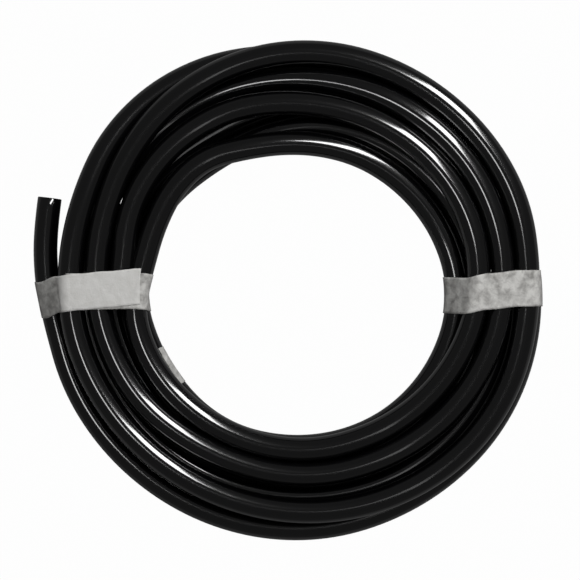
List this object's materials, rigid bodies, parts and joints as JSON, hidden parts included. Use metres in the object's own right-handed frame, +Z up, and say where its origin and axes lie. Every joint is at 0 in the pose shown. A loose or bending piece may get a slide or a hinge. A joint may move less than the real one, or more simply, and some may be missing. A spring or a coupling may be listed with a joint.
{
  "type": "garden tubing coil",
  "caption": "Flat coil of smooth glossy black plastic tubing in two layers, tied with two bands of masking tape, one cut end free.",
  "frame": {"origin": "on the floor, below the middle of the coil's bounding box", "axes": "+Z up out of the flat coil, -X towards the band beside the free cut end, +Y the way that end points"},
  "size_m": [0.3425, 0.336, 0.0331],
  "materials": {
    "hose": "glossy extruded",
    "tape": "creped paper"
  },
  "bodies": {
    "root": {"hose_coil": "hose", "hose_free_end": "hose", "left_tape_band": "tape", "right_tape_band": "tape", "inner_tape_patch": "tape"}
  },
  "joints": []
}
